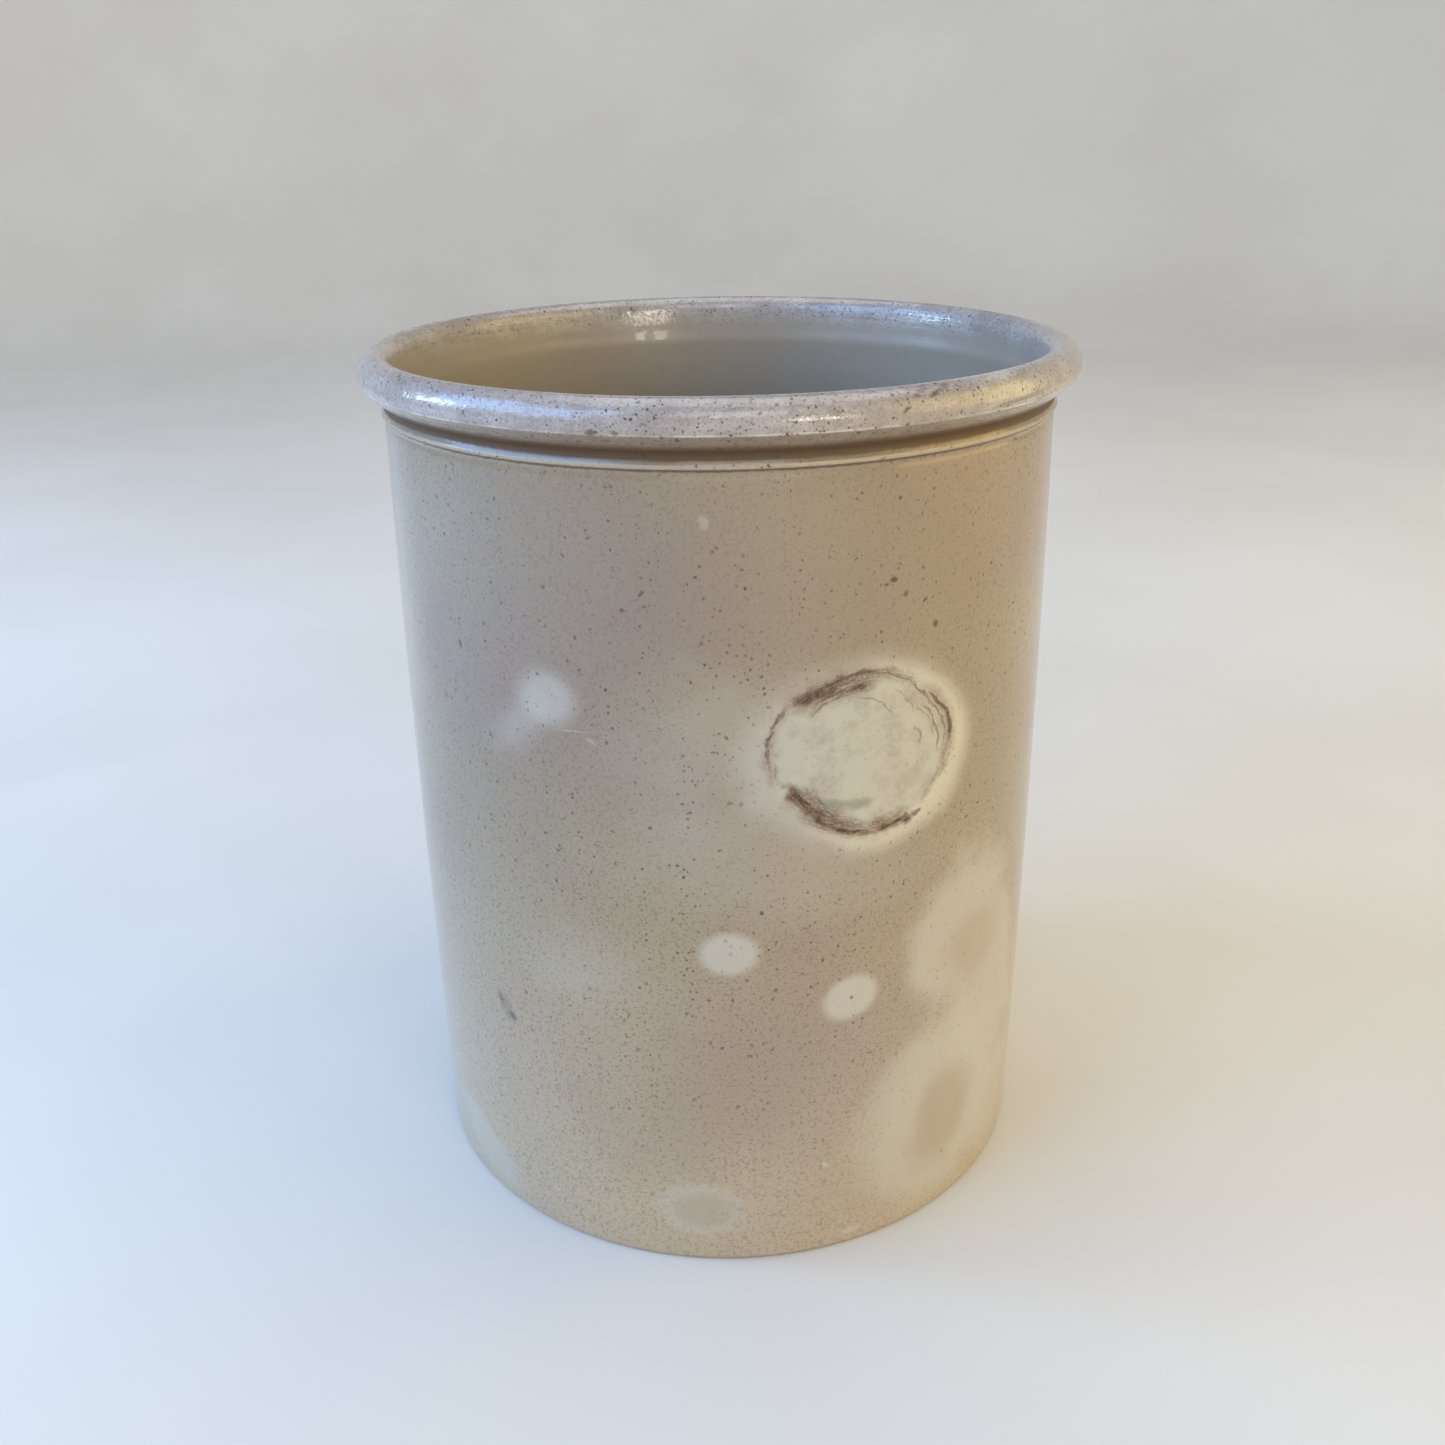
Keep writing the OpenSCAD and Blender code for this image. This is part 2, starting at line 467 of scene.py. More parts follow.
patch_wander = clouds(pot, wall_place, 42.0, 3.0, 0.5)
pale_share = 0.0
colour = ground
for across, up, half_width, half_height, lean, feather, ragged, strength, shade in patches:
    mark = wall_mark(patch_wander, across, up, half_width, half_height, lean, feather, ragged)
    share = sum_of(pot, "MULTIPLY", mark["Mask"], strength)
    colour = tint(pot, share, colour, shade)
    if shade == pale:
        pale_share = sum_of(pot, "MAXIMUM", pale_share, share)


# ---------------------------------------------------------------------------------------------
# The kiln kiss.
# The crock touched its neighbour in the kiln. The glaze there pulled away when they were parted and
# left a pale oval with torn dark-brown strands round it and a halo where the glaze fired pale.
# ---------------------------------------------------------------------------------------------
def torn_strand_effect():
    """A strand of torn glaze round the kiss: a line that runs round the oval at a given ring and
    drifts in or out with the angle. It tapers at both ends, wavers with noise and breaks up."""
    group, given, result = effect(
        "torn strand",
        [("Waver", "Float", 0.5), ("Grain", "Float", 0.5), ("Distance", "Float", 1.0),
         ("Angle", "Float", 0.0), ("Middle", "Float", 0.0), ("Half spread", "Float", 0.3),
         ("Ring", "Float", 1.0), ("Drift", "Float", 0.0), ("Width", "Float", 0.03),
         ("Broken", "Float", 0.5)],
        ["Mask"])
    turned = sum_of(group, "WRAP", sum_of(group, "SUBTRACT", given["Angle"], given["Middle"]),
                    math.pi, -math.pi)
    out = sum_of(group, "ABSOLUTE", sum_of(group, "DIVIDE", turned, given["Half spread"]))
    taper = step_between(group, out, 0.55, 1.05, 1.0, 0.0)
    waver = sum_of(group, "MULTIPLY", sum_of(group, "SUBTRACT", given["Waver"], 0.5), 0.16)
    ring = sum_of(group, "MULTIPLY_ADD", turned, given["Drift"], given["Ring"])
    from_ring = sum_of(group, "SUBTRACT", given["Distance"], ring)
    off = sum_of(group, "ABSOLUTE", sum_of(group, "ADD", from_ring, waver))
    breadth = sum_of(group, "MULTIPLY", given["Width"], sum_of(group, "MULTIPLY_ADD", taper, 0.8, 0.2))
    near = step_between(group, sum_of(group, "DIVIDE", off, breadth), 0.15, 1.0, 1.0, 0.0)
    gone = sum_of(group, "MULTIPLY_ADD", given["Broken"], 0.8, -0.05)
    whole_from = sum_of(group, "MULTIPLY_ADD", given["Broken"], 0.8, 0.25)
    kept = step_between(group, given["Grain"], gone, whole_from)
    whole = sum_of(group, "MULTIPLY", near, sum_of(group, "MULTIPLY", taper, kept))
    group.links.new(whole, result["Mask"])
    return group


def round_the_kiss(middle, spread, ring, drift, width, broken):
    """A torn strand placed round the kiss, with its middle and half spread in degrees."""
    return use(pot, torn_strand, {
        "Waver": strand_waver, "Grain": strand_grain, "Distance": kiss["Distance"],
        "Angle": kiss["Angle"], "Middle": math.radians(middle), "Half spread": math.radians(spread),
        "Ring": ring, "Drift": drift, "Width": width, "Broken": broken})


torn_strand = torn_strand_effect()
kiss = wall_mark(patch_wander, 36.3, 155.9, 26.5, 21.5, 0, 0.06, 0.02)
halo = wall_mark(patch_wander, 35.5, 154.5, 32.5, 25.0, 0, 0.20, 0.07)
halo_right = wall_mark(patch_wander, 42.0, 152.5, 26.5, 24.0, 0, 0.15, 0.08)
strand_waver = clouds(pot, wall_place, 220.0, 3.0)
round_oval = put(pot, "ShaderNodeCombineXYZ", {0: sum_of(pot, "MULTIPLY", kiss["Angle"], 2.0),
                                               1: sum_of(pot, "MULTIPLY", kiss["Distance"], 15.0)})
strand_grain = sum_of(pot, "MULTIPLY_ADD", clouds(pot, wall_place, 1300.0, 3.0, 0.7), 0.45,
                      sum_of(pot, "MULTIPLY", clouds(pot, round_oval.outputs[0], 2.6, 4.0, 0.65), 0.55))
halo_pale = fired(192, 185, 172)
halo_cream = fired(212, 201, 175)
kiss_cream = fired(181, 174, 156)
kiss_grey = fired(146, 139, 121)
stain_brown = fired(138, 112, 82)
smear_green = fired(128, 128, 108)
torn_dark = fired(60, 38, 20)
torn_light = fired(118, 84, 50)
colour = tint(pot, sum_of(pot, "MULTIPLY", halo["Mask"], 0.55), colour, halo_pale)
colour = tint(pot, sum_of(pot, "MULTIPLY", halo_right["Mask"], 0.58), colour, halo_cream)
pale_share = sum_of(pot, "MAXIMUM", pale_share, halo["Mask"])
kiss_mottle = step_between(pot, clouds(pot, wall_place, 100.0, 6.0, 0.70), 0.42, 0.66)
kiss_ground = tint(pot, sum_of(pot, "MULTIPLY", kiss_mottle, 0.70), kiss_cream, kiss_grey)
colour = tint(pot, sum_of(pot, "MULTIPLY", kiss["Mask"], 0.8), colour, kiss_ground)

# Middle and half spread in degrees, ring, drift per radian, width, how broken, strength. The ring
# and the width are shares of the oval's own half size.
strands = [
    (123, 16, 0.955, 0.22, 0.130, 0.36, 1.00),
    (108, 27, 0.905, 0.12, 0.190, 0.50, 0.85),
    (103, 24, 0.990, 0.04, 0.060, 0.36, 0.95),
    (108, 22, 0.850, 0.10, 0.070, 0.38, 0.95),
    (112, 30, 0.785, 0.04, 0.024, 0.45, 0.80),
    (76, 26, 0.940, 0.13, 0.110, 0.52, 0.70),
    (64, 36, 0.905, 0.13, 0.030, 0.42, 0.80),
    (16, 28, 0.950, -0.11, 0.046, 0.38, 1.00),
    (-28, 30, 0.985, -0.05, 0.070, 0.52, 0.55),
    (12, 32, 0.800, -0.08, 0.018, 0.40, 0.70),
    (14, 28, 0.875, -0.10, 0.018, 0.40, 0.75),
    (22, 24, 0.740, -0.10, 0.014, 0.45, 0.55),
    (10, 17, 0.580, -0.15, 0.018, 0.42, 0.60),
    (77, 24, 0.590, 0.24, 0.014, 0.40, 0.55),
    (55, 20, 0.700, 0.20, 0.012, 0.45, 0.45),
    (160, 26, 1.010, -0.10, 0.036, 0.46, 0.90),
    (194, 16, 0.890, -0.10, 0.040, 0.54, 0.70),
    (220, 26, 0.835, 0.04, 0.110, 0.36, 1.00),
    (238, 38, 0.850, 0.16, 0.200, 0.50, 0.80),
    (252, 28, 0.955, 0.25, 0.056, 0.36, 1.00),
    (243, 26, 0.790, 0.30, 0.026, 0.42, 0.80),
    (250, 24, 0.870, 0.28, 0.024, 0.40, 0.80),
    (288, 13, 1.045, 0.20, 0.095, 0.36, 1.00),
    (284, 15, 0.930, 0.00, 0.110, 0.52, 0.65),
    (302, 4, 1.080, 0.00, 0.050, 0.20, 0.80),
]
# Middle and half spread in degrees, ring, drift per radian, width, strength: thin brown glaze that
# shades the ground under the strands.
stains = [
    (116, 30, 0.920, 0.14, 0.300, 0.75),
    (98, 34, 0.960, 0.02, 0.140, 0.45),
    (230, 30, 0.850, 0.10, 0.260, 0.65),
    (262, 30, 0.960, 0.18, 0.200, 0.70),
    (286, 16, 0.980, 0.10, 0.200, 0.60),
    (8, 46, 0.960, -0.06, 0.140, 0.55),
    (30, 36, 0.800, -0.06, 0.220, 0.30),
    (170, 34, 0.990, -0.06, 0.090, 0.50),
]
for middle, spread, ring, drift, width, strength in stains:
    stain = round_the_kiss(middle, spread, ring, drift, width, 0.42)
    colour = tint(pot, sum_of(pot, "MULTIPLY", stain["Mask"], strength), colour, stain_brown)
torn = 0.0
for middle, spread, ring, drift, width, broken, strength in strands:
    strand = round_the_kiss(middle, spread, ring, drift, width, broken)
    torn = sum_of(pot, "MAXIMUM", torn, sum_of(pot, "MULTIPLY", strand["Mask"], strength))

smear = round_the_kiss(252, 30, 0.66, -0.12, 0.11, 0.35)
colour = tint(pot, sum_of(pot, "MULTIPLY", smear["Mask"], 0.75), colour, smear_green)
torn_tone = tint(pot, step_between(pot, clouds(pot, wall_place, 520.0, 3.0), 0.35, 0.70),
                 torn_dark, torn_light)
colour = tint(pot, torn, colour, torn_tone)


# ---------------------------------------------------------------------------------------------
# Iron specks.
# Grains of iron in the clay bleed through the glaze as brown specks, thickest on the rim and
# thinnest on the pale patches, near the foot and inside.
# ---------------------------------------------------------------------------------------------
def iron_specks_effect():
    """Specks: space is cut into cells with one seed each. A seed below the share carries a speck of
    its own size, with a ragged edge from noise, and a tone that says how dark it has burnt."""
    group, given, result = effect(
        "iron specks",
        [("Place", "Vector", 0), ("Spacing", "Float", 0.003), ("Largest", "Float", 0.15),
         ("Share", "Float", 0.5), ("Blur", "Float", 0.4)],
        ["Mask", "Tone"])
    per_metre = sum_of(group, "DIVIDE", 1.0, given["Spacing"])
    shake = put(group, "ShaderNodeTexNoise", {"Vector": given["Place"], "Detail": 2.0,
                                              "Scale": sum_of(group, "MULTIPLY", per_metre, 4.5)})
    centred = put(group, "ShaderNodeVectorMath", {0: shake.outputs["Color"], 1: (0.5, 0.5, 0.5)},
                  operation="SUBTRACT")
    shift = put(group, "ShaderNodeVectorMath", {0: centred.outputs[0], 3: given["Spacing"]},
                operation="SCALE")
    smaller = put(group, "ShaderNodeVectorMath", {0: shift.outputs[0], 3: 0.5}, operation="SCALE")
    moved = put(group, "ShaderNodeVectorMath", {0: given["Place"], 1: smaller.outputs[0]},
                operation="ADD")
    cells = put(group, "ShaderNodeTexVoronoi", {"Vector": moved.outputs[0], "Scale": per_metre})
    seed = put(group, "ShaderNodeSeparateColor", {"Color": cells.outputs["Color"]}).outputs
    there = sum_of(group, "LESS_THAN", seed[0], given["Share"])
    size = sum_of(group, "MULTIPLY_ADD", sum_of(group, "MULTIPLY", seed[1], seed[1]), 0.7, 0.3)
    radius = sum_of(group, "MULTIPLY", size, given["Largest"])
    core = sum_of(group, "MULTIPLY", radius, sum_of(group, "SUBTRACT", 1.0, given["Blur"]))
    speck = step_between(group, cells.outputs["Distance"], core, radius, 1.0, 0.0)
    group.links.new(sum_of(group, "MULTIPLY", speck, there), result["Mask"])
    group.links.new(seed[2], result["Tone"])
    return group


iron_specks = iron_specks_effect()
# spacing in mm; largest size as a share of it; share of places with a speck; blur; strength
speck_layers = [
    (1.0, 0.32, 0.90, 0.50, 0.70),
    (1.9, 0.28, 0.90, 0.30, 1.00),
    (3.6, 0.19, 0.85, 0.25, 1.00),
]
speck_clusters = step_between(pot, clouds(pot, clay_place, 55.0, 3.0), 0.36, 0.60, 0.6, 1.0)
toward_foot = step_between(pot, up_outside, 10 * MM, 130 * MM, 0.40, 1.0)
speck_level = sum_of(pot, "MULTIPLY", speck_clusters, toward_foot)
speck_level = sum_of(pot, "MULTIPLY", speck_level,
                     sum_of(pot, "SUBTRACT", 1.0, sum_of(pot, "MULTIPLY", pale_share, 0.75)))
speck_level = sum_of(pot, "MAXIMUM", speck_level, on_rim)
speck_level = sum_of(pot, "MULTIPLY", speck_level, sum_of(pot, "MULTIPLY_ADD", indoors, -0.85, 1.0))
specks = 0.0
for spacing, largest, share, blur, strength in speck_layers:
    layer = use(pot, iron_specks, {"Place": clay_place, "Spacing": spacing * MM, "Largest": largest,
                                   "Share": share, "Blur": blur})
    strong = sum_of(pot, "MULTIPLY", layer["Mask"],
                    sum_of(pot, "MULTIPLY_ADD", layer["Tone"], 0.25 * strength, 0.75 * strength))
    specks = sum_of(pot, "MAXIMUM", specks, strong)
specks = sum_of(pot, "MULTIPLY", specks, speck_level)
rim_specks = use(pot, iron_specks, {"Place": clay_place, "Spacing": 1.25 * MM, "Largest": 0.38,
                                    "Share": 0.95, "Blur": 0.40})
rim_crowd = step_between(pot, clouds(pot, clay_place, 130.0, 3.0), 0.36, 0.62, 0.60, 1.0)
rim_peppered = sum_of(pot, "MULTIPLY", rim_specks["Mask"], sum_of(pot, "MULTIPLY", rim_crowd, on_rim))
specks = sum_of(pot, "MAXIMUM", specks, sum_of(pot, "MULTIPLY", rim_peppered, 0.9))


# ---------------------------------------------------------------------------------------------
# The rim, the hollow and the inside.
# The same glaze fired greyer and lighter on the rim, and plainer and browner inside. The bead is light
# from glaze drawn thin over it and from a painted highlight, and a painted highlight runs along the
# crease. The slope under the roll has painted shade, and the hollow above the bead and the groove below
# it are brown from gathered glaze and painted shade.
# ---------------------------------------------------------------------------------------------
inside_brown = fired(162, 149, 130)
rim_pink = fired(162, 151, 143)
rim_grey = fired(184, 175, 168)
rim_grain_brown = fired(128, 112, 102)
slope_painted_shade = fired(124, 103, 79)
hollow_glaze_and_shade = fired(80, 54, 23)
groove_glaze_and_shadow = fired(82, 58, 34)
bead_thin_glaze_and_highlight = fired(204, 190, 166)
crease_painted_highlight = fired(214, 203, 184)
colour = tint(pot, sum_of(pot, "MULTIPLY", indoors, 0.85), colour, inside_brown)
rim_mottle = tint(pot, step_between(pot, clouds(pot, clay_place, 90.0, 5.0, 0.75), 0.36, 0.62),
                  rim_pink, rim_grey)
rim_grain = step_between(pot, clouds(pot, clay_place, 1500.0, 2.0, 0.6), 0.46, 0.66)
rim_mottle = tint(pot, sum_of(pot, "MULTIPLY", rim_grain, 0.5), rim_mottle, rim_grain_brown)
colour = tint(pot, sum_of(pot, "MULTIPLY", on_rim, 0.80), colour, rim_mottle)
crease_below_top = 8.3 * MM
crease_travel = row_travel[np.argmax(row_height > crock_height - crease_below_top)] - foot_travel
# Painted shade: the slope under the roll, which faces down, is tinted dark brown for the shade under
# the overhang.
under_roll_shade = sum_of(pot, "MULTIPLY",
                    step_between(pot, up_outside, bead_travel + 4 * MM, bead_travel + 6 * MM),
                    step_between(pot, up_outside, crease_travel - 0.6 * MM, crease_travel, 1.0, 0.0))
colour = tint(pot, sum_of(pot, "MULTIPLY", under_roll_shade, 0.7), colour, slope_painted_shade)

# Thin and thick glaze, with painted highlight and painted shade on them: the bend on the mesh, with
# noise on it so that the edges wander.
edge_noise = sum_of(pot, "MULTIPLY_ADD", clouds(pot, clay_place, 160.0, 3.0), 160.0, -80.0)
thin_glaze_and_highlight = step_between(pot, sum_of(pot, "ADD", edges, edge_noise), -430.0, -640.0)
thick_glaze_and_shade = sum_of(pot, "MULTIPLY",
               step_between(pot, sum_of(pot, "ADD", hollows, edge_noise), -10.0, 260.0),
               step_between(pot, up_outside, bead_travel + 2.0 * MM, bead_travel + 2.8 * MM))
jagged = sum_of(pot, "MULTIPLY_ADD", clouds(pot, clay_place, 620.0, 3.0, 0.6), 1.4 * MM, -0.7 * MM)
up_jagged = sum_of(pot, "ADD", up_outside, jagged)
in_cove = sum_of(pot, "MULTIPLY",
                 step_between(pot, up_jagged, bead_travel + 3.6 * MM, bead_travel + 4.3 * MM),
                 step_between(pot, up_jagged, bead_travel + 6.6 * MM, bead_travel + 10.5 * MM,
                              1.0, 0.0))
thick_glaze_and_shade = sum_of(pot, "MAXIMUM", thick_glaze_and_shade, in_cove)
# The brown in the hollow above the bead is partly glaze gathered there and partly painted shade in the
# hollow under the roll.
colour = tint(pot, sum_of(pot, "MULTIPLY", thick_glaze_and_shade, 0.88), colour, hollow_glaze_and_shade)
# A thin dark-brown line in the groove below the bead: partly glaze pooled there, partly a painted
# shadow under the bead.
pooled_and_shadowed = sum_of(pot, "MULTIPLY",
                step_between(pot, up_jagged, bead_travel + 0.5 * MM, bead_travel + 0.9 * MM),
                step_between(pot, up_jagged, bead_travel + 1.7 * MM, bead_travel + 2.1 * MM, 1.0, 0.0))
colour = tint(pot, sum_of(pot, "MULTIPLY", pooled_and_shadowed, 0.75), colour, groove_glaze_and_shadow)
# The light line on the bead and other sharp edges: partly glaze drawn thin over them, partly a painted
# highlight along the bead.
colour = tint(pot, sum_of(pot, "MULTIPLY", thin_glaze_and_highlight, 0.38), colour, bead_thin_glaze_and_highlight)
# Painted highlight: a thin cream line along the crease at the foot of the roll, broken up by noise.
crease_highlight_band = sum_of(pot, "MULTIPLY",
                     step_between(pot, up_outside, crease_travel - 0.40 * MM,
                                  crease_travel - 0.05 * MM),
                     step_between(pot, up_outside, crease_travel + 0.05 * MM,
                                  crease_travel + 0.45 * MM, 1.0, 0.0))
crease_highlight_break = step_between(pot, clouds(pot, clay_place, 90.0, 3.0), 0.36, 0.60, 0.12, 0.75)
colour = tint(pot, sum_of(pot, "MULTIPLY", crease_highlight_band, crease_highlight_break), colour, crease_painted_highlight)


# ---------------------------------------------------------------------------------------------
# Stray marks.
# Burnt spots and pinholes in the glaze, a rubbed smudge low on the left, a brown cluster and worn
# glaze on the rim, and a hairline crack on the rim's right side.
# ---------------------------------------------------------------------------------------------
burnt = fired(58, 44, 34)
smoke = fired(120, 104, 92)
plum = fired(98, 72, 64)
worn = fired(216, 210, 198)
iron_green = fired(52, 56, 44)
# across, up, half width, half height in mm; lean in degrees; strength; colour
stray_marks = [
    (-75.0, 178.5, 0.6, 1.0, 10, 0.9, iron_green),
    (42.5, 199.5, 1.0, 0.6, 0, 0.9, burnt),
    (40.5, 198.5, 0.6, 0.4, 0, 0.8, burnt),
    (46.0, 195.5, 0.8, 0.6, 30, 0.7, burnt),
    (52.0, 193.0, 0.6, 0.5, 0, 0.7, burnt),
    (55.5, 186.0, 0.8, 0.9, 0, 0.8, burnt),
    (-68.5, 72.0, 4.6, 2.4, -50, 0.55, smoke),
    (-66.0, 69.5, 1.6, 1.0, -35, 0.60, burnt),
    (-70.5, 74.0, 1.7, 0.8, -60, 0.45, burnt),
    (46.0, 248.5, 1.7, 0.7, 10, 0.60, plum),
    (48.5, 247.0, 2.1, 0.6, 25, 0.65, plum),
    (52.5, 249.0, 1.3, 0.9, 40, 0.60, plum),
    (44.0, 247.0, 0.9, 0.5, 0, 0.55, plum),
    (50.5, 248.0, 0.9, 0.7, 0, 0.60, plum),
    (47.0, 250.0, 1.5, 0.4, 10, 0.50, plum),
    (40.5, 244.0, 0.9, 0.35, 50, 0.80, burnt),
    (41.5, 244.5, 0.6, 0.3, 30, 0.70, burnt),
    (72.0, 250.5, 7.0, 2.2, 8, 0.50, worn),
    (60.0, 251.5, 9.0, 1.2, 0, 0.35, worn),
    (-27.5, 241.0, 1.3, 0.7, 0, 0.70, burnt),
    (-22.0, 241.0, 0.9, 0.6, 0, 0.60, burnt),
    (71.0, 242.0, 5.0, 0.5, 4, 0.45, plum),
    (80.0, 242.5, 6.0, 0.6, 4, 0.45, plum),
    (86.0, 241.0, 5.0, 0.5, 4, 0.45, plum),
    (142.0, 249.0, 5.5, 0.22, 2, 0.75, burnt),
    (153.0, 249.5, 6.5, 0.20, 5, 0.75, burnt),
    (-24.0, 195.0, 0.5, 0.5, 0, 0.7, burnt),
    (-36.5, 187.0, 0.4, 0.5, 0, 0.7, burnt),
    (-19.0, 138.5, 0.5, 0.5, 0, 0.7, burnt),
    (71.5, 137.5, 0.5, 0.5, 0, 0.7, burnt),
    (69.0, 18.0, 0.5, 0.5, 0, 0.6, burnt),
    (33.5, 85.0, 0.4, 0.4, 0, 0.7, burnt),
    (-4.0, 216.5, 1.1, 1.5, 20, 0.40, pale),
    (27.0, 31.0, 1.3, 0.9, 0, 0.60, pale),
    (35.5, 4.5, 3.0, 1.0, 5, 0.65, pale),
    (-45.0, 25.0, 1.0, 1.2, 0, 0.50, pale),
    (-54.0, 14.0, 1.1, 0.9, 0, 0.50, pale),
    (-38.5, 162.5, 4.0, 0.25, 3, 0.40, pale),
    (-33.5, 160.5, 1.4, 0.5, -30, 0.35, pale),
]
stray_wander = clouds(pot, wall_place, 650.0, 2.0)
for across, up, half_width, half_height, lean, strength, shade in stray_marks:
    mark = wall_mark(stray_wander, across, up, half_width, half_height, lean, 0.5, 0.35)
    colour = tint(pot, sum_of(pot, "MULTIPLY", mark["Mask"], strength), colour, shade)
# The iron specks lie over every other colour.
speck_dark = fired(60, 43, 32)
speck_brown = fired(90, 66, 47)
speck_tone = tint(pot, step_between(pot, clouds(pot, clay_place, 230.0, 1.0), 0.4, 0.6),
                  speck_dark, speck_brown)
colour = tint(pot, specks, colour, speck_tone)


# ---------------------------------------------------------------------------------------------
# The skin of the glaze.
# A soft shine under a thin clear coat, with an orange-peel skin, faint turning lines, and lumps and
# rings on the rim. Depths are in mm. Where glaze is thin, gathered or torn it shines less.
# ---------------------------------------------------------------------------------------------
peel = clouds(pot, clay_place, 170.0, 2.0, 0.5)
pits = sum_of(pot, "MULTIPLY", specks, -0.05)
turning = put(pot, "ShaderNodeTexWave", {"Vector": wall_place, "Scale": 38.0, "Distortion": 1.2,
                                         "Detail": 2.0, "Detail Scale": 0.4},
              bands_direction="Y").outputs["Fac"]
rim_lumps = sum_of(pot, "MULTIPLY", clouds(pot, clay_place, 260.0, 3.0, 0.6), on_rim)
height = sum_of(pot, "MULTIPLY_ADD", peel, 0.07, pits)
height = sum_of(pot, "MULTIPLY_ADD", rim_lumps, 0.24, height)
clay_parts = put(pot, "ShaderNodeSeparateXYZ", {0: clay_place}).outputs
level_place = put(pot, "ShaderNodeCombineXYZ", {0: clay_parts[0], 1: clay_parts[1]})
from_axis = put(pot, "ShaderNodeVectorMath", {0: level_place.outputs[0]},
                operation="LENGTH").outputs["Value"]
ring_place = put(pot, "ShaderNodeCombineXYZ", {
    0: sum_of(pot, "MULTIPLY", from_axis, 700.0), 1: sum_of(pot, "MULTIPLY", clay_parts[2], 700.0),
    2: sum_of(pot, "MULTIPLY", clouds(pot, clay_place, 20.0, 2.0), 9.0)})
rim_rings = sum_of(pot, "MULTIPLY", clouds(pot, ring_place.outputs[0], 1.0, 2.0), on_rim)
height = sum_of(pot, "MULTIPLY_ADD", rim_rings, 0.13, height)
height = sum_of(pot, "MULTIPLY_ADD", turning, 0.006, height)
height = sum_of(pot, "MULTIPLY_ADD", torn, 0.16, height)
height = sum_of(pot, "MULTIPLY_ADD", sum_of(pot, "MULTIPLY", kiss["Mask"], kiss_mottle), 0.05, height)
skin = put(pot, "ShaderNodeBump", {"Height": height, "Distance": MM, "Strength": 1.0})
dullness = sum_of(pot, "MULTIPLY_ADD", fine_mottle, 0.10, 0.20)
dullness = sum_of(pot, "MAXIMUM", dullness, sum_of(pot, "MULTIPLY", torn, 0.5))
gathered = sum_of(pot, "MAXIMUM", thick_glaze_and_shade, indoors)
dullness = sum_of(pot, "MULTIPLY_ADD", gathered, 0.12, dullness)
bead_and_hollow = sum_of(pot, "MAXIMUM", sum_of(pot, "MAXIMUM", thin_glaze_and_highlight, pooled_and_shadowed), in_cove)
dullness = sum_of(pot, "MULTIPLY_ADD", bead_and_hollow, 0.22, dullness)
clear_coat = sum_of(pot, "MULTIPLY_ADD", torn, -0.5, 0.7)
clear_coat = sum_of(pot, "MULTIPLY_ADD", gathered, -0.50, clear_coat)
clear_coat = sum_of(pot, "MULTIPLY_ADD", bead_and_hollow, -0.45, clear_coat)
clear_coat = sum_of(pot, "MAXIMUM", clear_coat, 0.0)

glaze_shader = put(pot, "ShaderNodeBsdfPrincipled", {
    "Base Color": colour, "Roughness": dullness, "Coat Weight": clear_coat,
    "Normal": skin.outputs[0], "Coat Normal": skin.outputs[0], "Coat Roughness": 0.07, "IOR": 1.5})
put(pot, "ShaderNodeOutputMaterial", {"Surface": glaze_shader.outputs[0]})
crock_mesh.materials.append(glaze)


# ---------------------------------------------------------------------------------------------
# The bare foot.
# The base was wiped clean of glaze so that the crock wouldn't stick to the kiln shelf. It shows the
# sandy buff clay, with the fine rings of the turning tool.
# ---------------------------------------------------------------------------------------------
bare = bpy.data.materials.new("bare_stoneware")
bare.use_nodes = True
foot = bare.node_tree
foot.nodes.clear()
foot_place = put(foot, "ShaderNodeTexCoord").outputs["Object"]
sand = clouds(foot, foot_place, 900.0, 5.0, 0.65)
smoke_cloud = clouds(foot, foot_place, 24.0, 3.0)
clay_dark = fired(150, 128, 102)
clay_buff = fired(190, 170, 142)
clay_smoked = fired(140, 108, 80)
clay_speck = fired(72, 52, 38)
foot_colour = tint(foot, step_between(foot, sand, 0.35, 0.7), clay_dark, clay_buff)
smoked = step_between(foot, smoke_cloud, 0.45, 0.7, 0.0, 0.5)
foot_colour = tint(foot, smoked, foot_colour, clay_smoked)
foot_specks = use(foot, iron_specks, {"Place": foot_place, "Spacing": 3.0 * MM, "Largest": 0.16,
                                      "Share": 0.5, "Blur": 0.4})
foot_colour = tint(foot, foot_specks["Mask"], foot_colour, clay_speck)
tool_rings = put(foot, "ShaderNodeTexWave", {"Vector": foot_place, "Scale": 190.0, "Distortion": 0.6,
                                             "Detail": 2.0, "Detail Scale": 0.5},
                 wave_type="RINGS", rings_direction="Z").outputs["Fac"]
foot_height = sum_of(foot, "MULTIPLY_ADD", tool_rings, 0.10, sum_of(foot, "MULTIPLY", sand, 0.12))
foot_skin = put(foot, "ShaderNodeBump", {"Height": foot_height, "Distance": MM, "Strength": 1.0})
foot_dull = step_between(foot, sand, 0.3, 0.7, 0.70, 0.85)
foot_shader = put(foot, "ShaderNodeBsdfPrincipled", {
    "Base Color": foot_colour, "Roughness": foot_dull, "Normal": foot_skin.outputs[0]})
put(foot, "ShaderNodeOutputMaterial", {"Surface": foot_shader.outputs[0]})
crock_mesh.materials.append(bare)

row_of_face = np.maximum.reduceat(point_row[loop_point], face_start)
glaze_stops_above_foot = 0.9 * MM
bare_rows = row_travel[row_of_face] < foot_travel + glaze_stops_above_foot
crock_mesh.polygons.foreach_set("material_index", bare_rows.astype(np.int32))
crock_mesh.update()


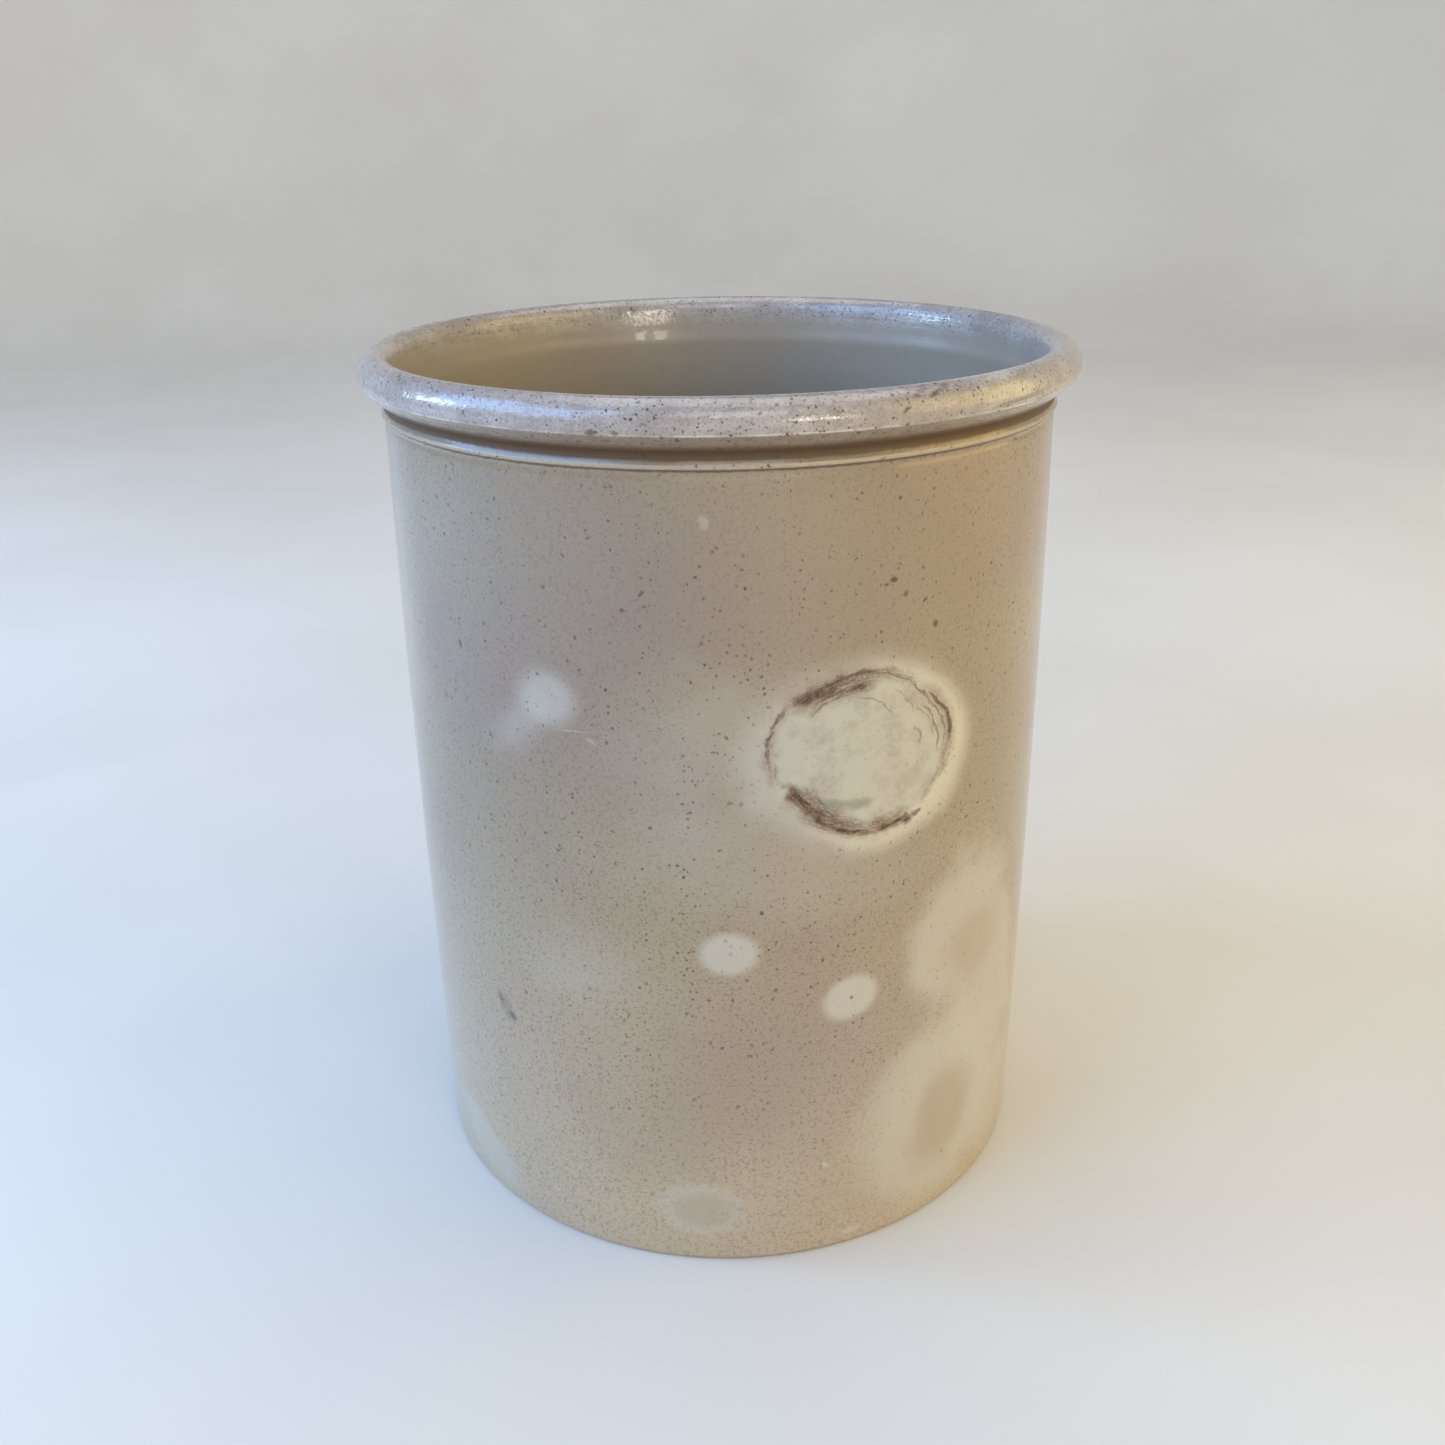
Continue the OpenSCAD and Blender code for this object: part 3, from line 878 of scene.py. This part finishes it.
# ---------------------------------------------------------------------------------------------
# The studio.
# A pale floor that curves up into a round backdrop, cool skylight from the left, warm light from the
# right, a window of two panes and soft boxes in front, four washes on the backdrop, a dim card on
# each side behind the crock, and the camera looking down at the crock.
# ---------------------------------------------------------------------------------------------
floor_flat = 1.7
floor_curve = 0.6
backdrop_radius = 2.3
backdrop_height = 1.2
floor_line = np.concatenate([
    [[0, 0]],
    np.column_stack([np.linspace(0.3, 1.6, 4), np.zeros(4)]),
    round_stretch((floor_flat, floor_curve), floor_curve, -90, 0)[4::4],
    [[backdrop_radius, backdrop_height], [backdrop_radius, backdrop_height + 0.1 * MM]],
])
floor_columns = 96
spread_out = np.ones((1, floor_columns))
floor_mesh = turned_mesh("studio_floor", floor_line[:, :1] * spread_out,
                         floor_line[:, 1:] * spread_out + cad_low.z, floor_columns)
floor_mesh.flip_normals()
studio_floor = bpy.data.objects.new("studio_floor", floor_mesh)
bpy.context.scene.collection.objects.link(studio_floor)

paper = bpy.data.materials.new("pale_paper")
paper.use_nodes = True
sweep = paper.node_tree
sweep.nodes.clear()
sweep_place = put(sweep, "ShaderNodeTexCoord").outputs["Object"]
paper_tone = step_between(sweep, clouds(sweep, sweep_place, 3.0, 3.0), 0.3, 0.7)
paper_light = fired(224, 220, 211)
paper_shaded = fired(217, 212, 202)
paper_colour = tint(sweep, paper_tone, paper_light, paper_shaded)
paper_shader = put(sweep, "ShaderNodeBsdfPrincipled", {
    "Base Color": paper_colour, "Roughness": 0.75})
put(sweep, "ShaderNodeOutputMaterial", {"Surface": paper_shader.outputs[0]})
floor_mesh.materials.append(paper)


def soft_box(name, place, aim, width, height, watts, colour):
    """A soft box: an area light at a place, turned so that it shines at a point."""
    lamp = bpy.data.lights.new(name, "AREA")
    lamp.shape = "RECTANGLE"
    lamp.size = width
    lamp.size_y = height
    lamp.energy = watts
    lamp.color = colour
    box = bpy.data.objects.new(name, lamp)
    box.location = place
    box.rotation_mode = "QUATERNION"
    box.rotation_quaternion = (Vector(aim) - Vector(place)).to_track_quat("-Z", "Y")
    box.visible_camera = False
    bpy.context.scene.collection.objects.link(box)


crock_middle = (0, 0, crock_height / 2)
soft_box("sky_left", (-1.10, -0.42, 0.86), crock_middle, 1.5, 0.9, 20.5, (0.23, 0.48, 1.0))
soft_box("sky_far_left", (-1.25, 0.06, 0.52), crock_middle, 0.32, 0.26, 4.0, (0.50, 0.74, 1.0))
soft_box("sun_bounce_right", (1.35, -0.2, 0.6), crock_middle, 1.4, 1.2, 10.5, (1.0, 0.77, 0.22))
soft_box("top", (0.1, 0.3, 1.6), crock_middle, 1.4, 1.2, 8.5, (0.96, 0.96, 1.0))
soft_box("front_high", (0.1, -1.30, 1.25), crock_middle, 0.9, 0.6, 4.6, (0.88, 0.93, 1.0))
soft_box("front_low", (0.1, -1.50, 0.16), crock_middle, 1.2, 0.25, 0.9, (1.0, 0.92, 0.80))
for number, (side_across, side_back) in enumerate([(0, 1), (0, -1), (1, 0), (-1, 0)]):
    soft_box(f"backdrop_wash_{number}", (0.8 * side_across, 0.8 * side_back, 1.35),
             (2.2 * side_across, 2.2 * side_back, 0.45), 1.4, 0.4, 4.5, (0.98, 0.98, 1.0))
soft_box("left_card", (-0.335, 0.245, 0.13), (-0.08, -0.05, 0.12), 0.15, 0.25, 0.012,
         (0.84, 0.86, 1.0))
soft_box("right_card", (0.335, 0.245, 0.13), (0.08, -0.05, 0.12), 0.15, 0.25, 0.005,
         (1.0, 0.70, 0.30))
# across, back, up and width of each pane, in metres
window_panes = [(0.49, -1.09, 0.41, 0.11), (0.64, -1.00, 0.40, 0.09)]
for number, (across, back, up, wide) in enumerate(window_panes):
    soft_box(f"window_pane_{number}", (across, back, up), crock_middle, wide, 0.17, 1.3,
             (1.0, 0.88, 0.72))

studio_world = bpy.data.worlds.new("studio_air")
studio_world.use_nodes = True
studio_air = studio_world.node_tree.nodes["Background"].inputs
studio_air["Color"].default_value = fired(216, 222, 232)
studio_air["Strength"].default_value = 0.30
bpy.context.scene.world = studio_world
bpy.context.scene.view_settings.view_transform = "Standard"

camera_lens = bpy.data.cameras.new("camera")
camera_lens.sensor_width = 36.0
camera_lens.lens = 35.38
camera = bpy.data.objects.new("camera", camera_lens)
camera.location = (0.0, -0.4066, 0.3008)
look_down = math.radians(23.07)
look_across = math.radians(-0.07)
tilt = math.radians(-0.93)
gaze = Vector((math.sin(look_across) * math.cos(look_down),
               math.cos(look_across) * math.cos(look_down), -math.sin(look_down)))
camera.rotation_mode = "QUATERNION"
camera.rotation_quaternion = gaze.to_track_quat("-Z", "Y") @ Quaternion((0, 0, 1), tilt)
bpy.context.scene.collection.objects.link(camera)
bpy.context.scene.camera = camera
